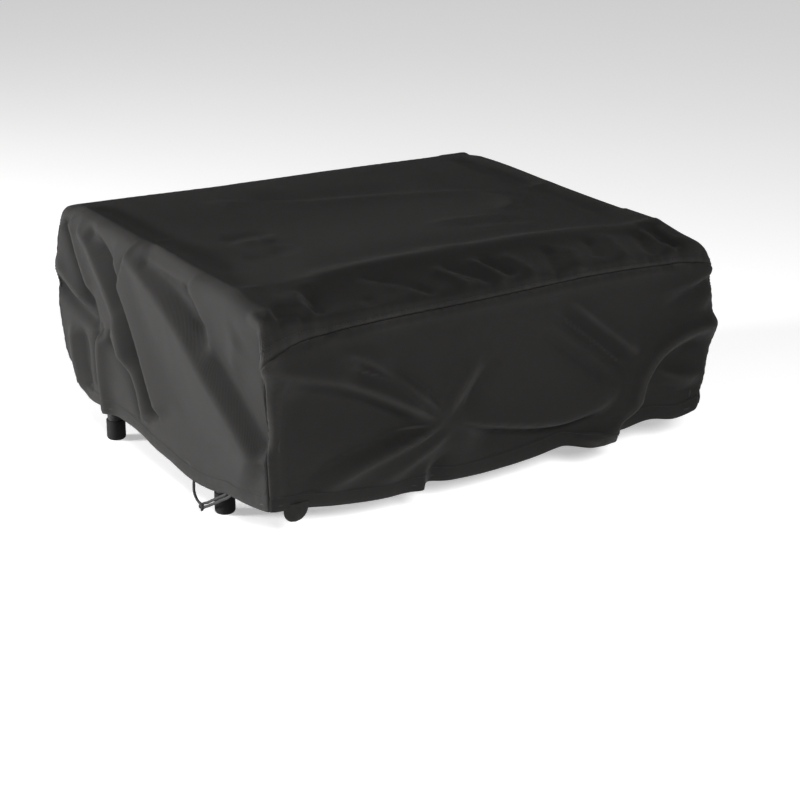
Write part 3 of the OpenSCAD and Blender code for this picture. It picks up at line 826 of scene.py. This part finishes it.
HEMS = {"left": (wrap_fine, "start"), "right": (wrap_fine[:, ::-1], "end"), "front": (front_fine, "low"),
        "rear": (rear_fine, "low")}
for seed, (side, (fine, border)) in enumerate(HEMS.items()):
    band = hem_band("hem_band_" + side, fine, border, seed)
    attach(band, "cover")
    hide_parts("hem_" + side)


# Gathered lobe of spare hem under the front left corner
def tuck_lobe():
    """Half-round flap of gathered hem that hangs a little below the band."""
    low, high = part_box("hem_tuck")
    middle_x, middle_y = (low[0] + high[0]) / 2 / MM, (low[1] + high[1]) / 2 / MM
    half_wide = (high[0] - low[0]) / 2 / MM + 3
    bottom = float(through(HEM_FRONT, middle_x)) - LOBE_DROP
    centre, outline = [], []
    around = np.linspace(0, 2 * math.pi, 72, endpoint=False)
    for t in np.linspace(0, 1, 24):
        bulge = math.sqrt(max(0.0, 1 - (1 - min(t * 1.5, 1)) ** 2))
        wide = (half_wide - 1.5) * bulge + 0.6
        pleat = 0.7 * np.sin(5.2 * np.cos(around) + 2.4 * t) * ease(0.1, 0.5, t)
        thick = 2.5 * bulge + 0.4 + pleat
        outline.append(np.stack([wide * np.cos(around), thick * np.sin(around)], axis=1))
        centre.append([middle_x + 1.5 * t, middle_y, bottom + (LOBE_DROP + 6) * t])
    ones = np.ones(len(centre))[:, None]
    return swept("hem_tuck_lobe", np.array(centre), ones * [1.0, 0, 0], ones * [0, 1.0, 0], outline)


LOBE_DROP = 14                      # how far the flap hangs below the hem
lobe = tuck_lobe()
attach(lobe, "cover")
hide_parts("hem_tuck")


def stitch_row(name, line, out, pitch=3.6, length=2.5, wide=0.75):
    """A row of short raised stitches along a line, lying on the cloth."""
    run = length_along(line)
    points, faces = [], []
    bow = [(-0.5, 0.0), (-0.42, 0.75), (0.0, 1.0), (0.42, 0.75), (0.5, 0.0)]
    for middle in np.arange(pitch, run[-1] - pitch, pitch):
        at = np.array([[np.interp(middle + a * length, run, line[:, k]) for k in range(3)] for a, _ in bow])
        up = unit(np.array([np.interp(middle, run, out[:, k]) for k in range(3)]))
        side = unit(np.cross(at[-1] - at[0], up))
        first = len(points)
        for centre, (_, rise) in zip(at, bow):
            thin = wide / 2 * (0.45 + 0.55 * rise)
            for turn in np.linspace(0, 2 * math.pi, 6, endpoint=False):
                above = thin * math.sin(turn) + 0.42 * rise - 0.1
                points.append(centre + side * thin * math.cos(turn) + up * above)
        for ring in range(len(bow) - 1):
            a = first + 6 * ring
            faces += [[a + k, a + (k + 1) % 6, a + 6 + (k + 1) % 6, a + 6 + k] for k in range(6)]
        faces += [[first + k for k in range(5, -1, -1)], [len(points) - 6 + k for k in range(6)]]
    obj = make_object(name, points, faces)
    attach(obj, "cover")
    return obj


wrap_out = grid_normals(wrap_fine)
stitch_rows = [
    stitch_row("topstitch_front_seam", wrap_fine[2:-2, 2], wrap_out[2:-2, 2]),
    stitch_row("topstitch_rear_seam", wrap_fine[2:-2, -3], wrap_out[2:-2, -3]),
]
for side, (fine, border) in HEMS.items():
    edge, up, out = hem_frame(fine, border)
    line = edge + up * (HEM_TALL - 2.6) + out * 0.5
    stitch_rows.append(stitch_row("hem_stitches_" + side, line[1:-1], out[1:-1]))


TAPE_DEPTH = 4.2                    # depth of the tape's fold behind the seam
TAPE_OUTLINE = [(-6.5, -6.4), (-6.1, -5.6), (0, -0.2), (6.1, -5.6), (6.5, -6.4), (6, -6.8), (0, -1.0),
                (-6, -6.8)]


def seam_tape(name, column):
    """Binding tape folded over the raw edges, inside the cover along a seam."""
    ring = cloth.wrap[:, column]
    line, out = cloth.points[ring], cloth.normals()[ring]
    along = unit(np.gradient(line, axis=0))
    out = unit(out - along * np.sum(out * along, axis=1, keepdims=True))
    flat = unit(np.cross(along, out))
    return swept(name, line - TAPE_DEPTH * out, flat, out, TAPE_OUTLINE)


for name, column, node in (("seam_tape_front", 0, "front_seam_binding"),
                           ("seam_tape_rear", -1, "rear_seam_binding")):
    tape = seam_tape(name, column)
    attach(tape, "cover")
    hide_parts(node)

# ---------------------------------------------------------------- drawstring
CORD_D = 3.2
ROUTE_STEPS, ROUTE_SPACING = 12, 0.5
LOOP = [(-284, -56, 44), (-284, -62, 44), (-284, -67, 43), (-284, -71, 40), (-284, -74, 35),
        (-284, -76, 29), (-285, -77, 22), (-286, -79, 15), (-286, -83, 9), (-286, -89, 6),
        (-286, -96, 6), (-286, -102, 9), (-286, -109, 12), (-286, -116, 16), (-286, -123, 20),
        (-285, -130, 24), (-284, -137, 28), (-284, -144, 32), (-284, -150, 36), (-284, -155, 40)]
TAIL = [(-284, -180, 44), (-284, -174, 44), (-284, -168, 42), (-284, -162, 39), (-284, -156, 35),
        (-284, -150, 31), (-285, -143, 27), (-286, -136, 23), (-286, -129, 19), (-287, -122, 15),
        (-288, -115, 11), (-290, -109, 8)]


def smooth_route(points, closed=False):
    """Evenly spaced points on a smooth curve through a route, and the curve's length."""
    line = curve(points, ROUTE_STEPS, closed)
    length = length_along(line)[-1]
    return resample(line, int(length / ROUTE_SPACING)), length


def braided(name, route, diameter, closed=False, sides=16):
    """Round braided cord: a tube whose surface rises and falls with its plaited strands."""
    line, length = smooth_route(route, closed)
    along = unit(np.gradient(line, axis=0))
    first = unit(np.cross(along, np.array([0.31, 0.17, 0.93])))
    second = np.cross(along, first)
    run = np.linspace(0, length, len(line))[:, None]
    turn = np.linspace(0, 2 * math.pi, sides, endpoint=False)[None]
    plait = np.sin(4 * turn + run * 2.1) * np.sin(4 * turn - run * 2.1)
    radius = diameter / 2 * (0.95 + 0.06 * plait)
    outline = np.stack([radius * np.cos(turn), radius * np.sin(turn)], axis=-1)
    return swept(name, line, first, second, outline, closed=closed), line, length


loop, loop_line, loop_length = braided("drawstring_free_loop", LOOP, CORD_D)
tail, tail_line, tail_length = braided("drawstring_free_tail", TAIL, CORD_D)
tip = np.array(TAIL[-1], float)
heading = unit(tip - np.array(TAIL[-2], float))
KNOT_SIZE, KNOT_CORD_D = 1.15, 2.4
turns = np.linspace(0, 2 * math.pi, 30, endpoint=False)
trefoil = np.stack([np.sin(turns) + 2 * np.sin(2 * turns), np.cos(turns) - 2 * np.cos(2 * turns),
                    -np.sin(3 * turns)], axis=1)
knot_route = tip + heading * 3.4 + KNOT_SIZE * trefoil[:, [2, 0, 1]] * [1.2, 1, 1] + [0, 0, 0.6]
knot = braided("drawstring_end_knot", knot_route, KNOT_CORD_D, closed=True)[0]
for piece, node in ((loop, "drawstring_loop"), (tail, "drawstring_tail"), (knot, "drawstring_knot")):
    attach(piece, "cover")
    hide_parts(node)
tuple(np.array(LOOP[0]) * MM)
tuple(np.array(TAIL[0]) * MM)


def hem_cord():
    """The drawstring inside the hem: round the whole cover, open between its two free ends."""
    inside = {}
    for side, (fine, border) in HEMS.items():
        edge, up, out = hem_frame(fine, border)
        inside[side] = (edge + 6.5 * up - 0.6 * out)[::4]
    left, rear, right, front = (inside[side] for side in ("left", "rear", "right", "front"))
    before, after = left[left[:, 1] < TAIL[0][1] - 4], left[left[:, 1] > LOOP[0][1] + 4]
    order = [np.array(LOOP[:1], float), after[np.argsort(after[:, 1])], rear[np.argsort(rear[:, 0])],
             right[np.argsort(-right[:, 1])], front[np.argsort(-front[:, 0])],
             before[np.argsort(before[:, 1])], np.array(TAIL[:1], float)]
    route = np.vstack([part[1:-1] if len(part) > 2 else part for part in order])
    return braided("drawstring_in_hem", route, CORD_D, sides=8)[0]


inner_cord = hem_cord()
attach(inner_cord, "cover")
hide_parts("drawstring")

# ---------------------------------------------------------------- what the cloth was cut to
# Width and length of each panel, in metres: its side of the cover, and the ease its folds take up
WRAP_CUT = (2 * (ROOF_Z - HEM_Z) * MM + 2 * HALF_X * MM + 0.014, 2 * HALF_Y * MM)
FRONT_CUT = (2 * HALF_X * MM + 0.014, 0.215)
REAR_CUT = (2 * HALF_X * MM + 0.010, 0.228)


def area(fine):
    """Area of a panel's outside, in square metres."""
    a, b = fine[1:, 1:] - fine[:-1, :-1], fine[1:, :-1] - fine[:-1, 1:]
    return float(np.linalg.norm(np.cross(a, b), axis=2).sum() / 2) * MM**2


for piece, fine, cut, held, rests_on in (
    (wrap_piece, wrap_fine, WRAP_CUT, "draped",
     ["side_rail_left", "side_rail_right", "rear_rail", "mid_rail", "ridge_rail"]),
    (front_piece, front_fine, FRONT_CUT, "hung", ["cover_wrap"]),
    (rear_piece, rear_fine, REAR_CUT, "hung", ["cover_wrap"]),
):
    min(area(fine), cut[0] * cut[1])
    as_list(rests_on)


# ---------------------------------------------------------------- materials
class Nodes:
    """Short calls for building a material's node tree."""

    def __init__(self, name):
        self.material = bpy.data.materials.new(name)
        self.material.use_nodes = True
        self.tree = self.material.node_tree
        self.shader = self.tree.nodes["Principled BSDF"]

    def add(self, kind, *inputs, **settings):
        node = self.tree.nodes.new("ShaderNode" + kind)
        for key, value in settings.items():
            setattr(node, key, value)
        for slot_at, value in enumerate(inputs):
            if value is None:
                continue
            if isinstance(value, bpy.types.NodeSocket):
                self.tree.links.new(value, node.inputs[slot_at])
            else:
                node.inputs[slot_at].default_value = value
        return node

    def math(self, operation, a, b=None, c=None):
        return self.add("Math", a, b, c, operation=operation).outputs[0]

    def total(self, *weighted):
        """Sum of (value, weight) pairs."""
        terms = [self.math("MULTIPLY", value, weight) for value, weight in weighted]
        result = terms[0]
        for term in terms[1:]:
            result = self.math("ADD", result, term)
        return result

    def plait(self, place, along, round_it):
        """Diamonds of a braid, from how many turns of each there are to a metre."""
        parts = self.add("SeparateXYZ", place)
        run = self.math("MULTIPLY", parts.outputs[0], along)
        turn = self.math("MULTIPLY", parts.outputs[1], round_it)
        one, other = self.math("ADD", turn, run), self.math("SUBTRACT", turn, run)
        return self.math("MULTIPLY", self.math("SINE", one), self.math("SINE", other))

    def noise(self, at, scale, detail=3.0, rough=0.55):
        node = self.add("TexNoise", at)
        node.inputs["Scale"].default_value = scale
        node.inputs["Detail"].default_value = detail
        node.inputs["Roughness"].default_value = rough
        return node.outputs["Fac"]

    def ramp(self, value, low, high, dark, light):
        return self.add("MapRange", value, low, high, dark, light).outputs[0]

    def mix(self, share, a, b):
        node = self.add("Mix", share, data_type="RGBA")
        colours = [socket for socket in node.inputs if socket.type == "RGBA"]
        for socket, value in zip(colours, (a, b)):
            if isinstance(value, bpy.types.NodeSocket):
                self.tree.links.new(value, socket)
            else:
                socket.default_value = value
        return [socket for socket in node.outputs if socket.type == "RGBA"][0]

    def bump(self, height, strength, distance, under=None):
        node = self.add("Bump")
        node.inputs["Strength"].default_value = strength
        node.inputs["Distance"].default_value = distance
        self.tree.links.new(height, node.inputs["Height"])
        if under is not None:
            self.tree.links.new(under, node.inputs["Normal"])
        return node.outputs["Normal"]

    def drive(self, name, socket):
        self.tree.links.new(socket, self.shader.inputs[name])

    def fix(self, **values):
        for name, value in values.items():
            self.shader.inputs[name.replace("_", " ")].default_value = value


THREAD = 0.0014                     # width of one thread and its gap in the cloth


def woven(name, dark, light, thread, sheen, rough=(0.62, 0.82)):
    """Plain-woven synthetic cloth: threads over and under, uneven dye, and a painted highlight that
    lightens the fold crests.
    """
    m = Nodes(name)
    place = m.add("Attribute", attribute_name="weave").outputs["Vector"]
    parts = m.add("SeparateXYZ", place)
    u = m.math("MULTIPLY", parts.outputs[0], 2 * math.pi / thread)
    v = m.math("MULTIPLY", parts.outputs[1], 2 * math.pi / thread)
    over = m.math("MULTIPLY", m.math("SINE", u), m.math("SINE", v))
    weft = m.math("ABSOLUTE", m.math("COSINE", u))
    warp = m.math("ABSOLUTE", m.math("COSINE", v))
    threads = m.total((over, 0.6), (weft, 0.2), (warp, 0.2))
    streaks = []
    for scale in ((60, 900, 1), (900, 60, 1)):
        stretched = m.add("Mapping", place)
        stretched.inputs["Scale"].default_value = scale
        streaks.append((m.noise(stretched.outputs[0], 1.0, 2.0), 0.25))
    spot = m.add("TexCoord").outputs["Object"]
    cloud = m.noise(spot, 9.0, 4.0)
    fleck = m.noise(spot, 420.0, 2.0)
    shade = m.total((cloud, 0.35), *streaks, (threads, 0.24), (fleck, 0.15))
    colour = m.mix(m.ramp(shade, 0.30, 0.72, 0.0, 1.0), dark, light)
    # Painted highlight: the base colour is lightened in patches on sharp convex fold crests, where light
    # would catch them.
    ridge = m.add("NewGeometry").outputs["Pointiness"]
    crest_highlight = m.math("MULTIPLY", m.ramp(ridge, 0.505, 0.56, 0.0, 0.55), m.ramp(cloud, 0.35, 0.7, 0.3, 1.0))
    crest_highlight_colour = tuple(min(1.0, c * 1.9 + 0.006) for c in light[:3]) + (1,)
    m.drive("Base Color", m.mix(crest_highlight, colour, crest_highlight_colour))
    m.drive("Roughness", m.ramp(shade, 0.3, 0.72, rough[0], rough[1]))
    soft = m.bump(m.noise(spot, 55.0, 4.0, 0.6), 0.22, 0.0012)
    m.drive("Normal", m.bump(threads, 0.7, 0.0004, soft))
    m.fix(Sheen_Weight=sheen, Sheen_Roughness=0.4, Specular_IOR_Level=0.12)
    m.shader.inputs["Sheen Tint"].default_value = (0.78, 0.76, 0.74, 1)
    return m.material


def braid_material(name, dark, light):
    m = Nodes(name)
    place = m.add("Attribute", attribute_name="weave").outputs["Vector"]
    plait = m.plait(place, 2100.0, 2500.0)
    fuzz = m.noise(m.add("TexCoord").outputs["Object"], 900.0, 3.0)
    shade = m.math("ADD", m.math("MULTIPLY", plait, 0.35), fuzz)
    m.drive("Base Color", m.mix(m.ramp(shade, 0.2, 0.9, 0.0, 1.0), dark, light))
    m.drive("Roughness", m.ramp(fuzz, 0.3, 0.7, 0.55, 0.8))
    m.drive("Normal", m.bump(shade, 0.5, 0.0003))
    m.fix(Sheen_Weight=0.05, Sheen_Roughness=0.4, Specular_IOR_Level=0.2)
    return m.material


def coated(name, dark, light, grain, depth, rough, metal=0.0, wear=None, specular=0.5):
    """Hard surface with a grain: powder coat, moulded plastic, rubber or bare steel."""
    m = Nodes(name)
    spot = m.add("TexCoord").outputs["Object"]
    fine = m.noise(spot, grain, 3.0)
    cloud = m.noise(spot, 22.0, 4.0)
    colour = m.mix(m.ramp(m.total((cloud, 0.7), (fine, 0.3)), 0.3, 0.7, 0.0, 1.0), dark, light)
    if wear:
        ridge = m.add("NewGeometry").outputs["Pointiness"]
        chipped = m.math("MULTIPLY", m.ramp(ridge, 0.51, 0.6, 0.0, 1.0), m.ramp(fine, 0.45, 0.6, 0.0, 1.0))
        colour = m.mix(chipped, colour, wear)
    m.drive("Base Color", colour)
    m.drive("Roughness", m.ramp(cloud, 0.3, 0.7, rough[0], rough[1]))
    m.drive("Normal", m.bump(fine, 0.35, depth))
    m.fix(Metallic=metal, Specular_IOR_Level=specular)
    return m.material


def grey(level, warm=0.0):
    return (level * (1 + warm), level, level * (1 - warm), 1)


FABRIC = woven("black_woven_polyester", grey(0.0036, 0.05), grey(0.0088, 0.05), THREAD, 0.03)
TAPE = woven("ribbed_binding_tape", grey(0.008, 0.03), grey(0.018, 0.03), 0.0010, 0.03)
STITCH = braid_material("stitching_thread", grey(0.004), grey(0.010))
CORD = braid_material("braided_drawstring", grey(0.003), grey(0.010))
POWDER = coated("charcoal_powder_coat", grey(0.004), grey(0.007), 700, 0.0001, (0.45, 0.6),
                wear=grey(0.015), specular=0.12)
PLASTIC = coated("moulded_black_plastic", grey(0.005), grey(0.009), 1100, 0.0001, (0.48, 0.62),
                 wear=grey(0.02), specular=0.2)
RUBBER = coated("black_rubber", grey(0.004), grey(0.007), 500, 0.0002, (0.72, 0.9), specular=0.1)
STEEL = coated("zinc_plated_steel", grey(0.42), grey(0.62), 900, 0.0001, (0.24, 0.4), 1.0)


def dress(obj, material):
    obj.data.materials.clear()
    obj.data.materials.append(material)


for piece in (wrap_piece, front_piece, rear_piece, lobe):
    dress(piece, FABRIC)
for side in HEMS:
    dress(bpy.data.objects["hem_band_" + side], FABRIC)
for piece in stitch_rows:
    dress(piece, STITCH)
for name in ("seam_tape_front", "seam_tape_rear"):
    dress(bpy.data.objects[name], TAPE)
for piece in (loop, tail, knot, inner_cord):
    dress(piece, CORD)
BY_SLOT = {"tube_metal": POWDER, "fitting_plastic": PLASTIC, "foot_rubber": RUBBER, "screw_steel": STEEL}
for part in frame["record"]["subparts"]:
    if part.get("material_slot") in BY_SLOT:
        dress(frame["nodes"][part["node"]], BY_SLOT[part["material_slot"]])


# ---------------------------------------------------------------- floor and lights
FLOOR_HALF = 30000                  # half the floor's width, past where the camera sees


def floor():
    corners = [(x * FLOOR_HALF, y * FLOOR_HALF, 0) for x, y in ((-1, -1), (1, -1), (1, 1), (-1, 1))]
    obj = make_object("floor", corners, [(0, 1, 2, 3)])
    m = Nodes("pale_floor")
    spot = m.add("TexCoord").outputs["Object"]
    m.drive("Base Color", m.mix(m.noise(spot, 1.5), grey(0.86), grey(0.90)))
    m.fix(Roughness=0.9, Specular_IOR_Level=0.1, Emission_Color=(1, 1, 1, 1), Emission_Strength=0.42)
    dress(obj, m.material)


def lamp(name, place, size, power, aim=(0, 0, 0.12)):
    light = bpy.data.lights.new(name, "AREA")
    light.shape, light.size, light.size_y, light.energy = "RECTANGLE", size[0], size[1], power
    obj = bpy.data.objects.new(name, light)
    obj.location = place
    obj.rotation_euler = (Vector(aim) - Vector(place)).to_track_quat("-Z", "Y").to_euler()
    bpy.context.collection.objects.link(obj)


floor()
lamp("key", (-2.35, 1.15, 0.34), (0.7, 0.4), 195)
lamp("fill", (-0.7, -2.3, 1.35), (0.8, 0.6), 90)
world = bpy.data.worlds.new("studio")
world.use_nodes = True
world.node_tree.nodes["Background"].inputs["Color"].default_value = (1, 1, 1, 1)
world.node_tree.nodes["Background"].inputs["Strength"].default_value = 0.16
bpy.context.scene.world = world
bpy.context.scene.view_settings.view_transform = "Standard"
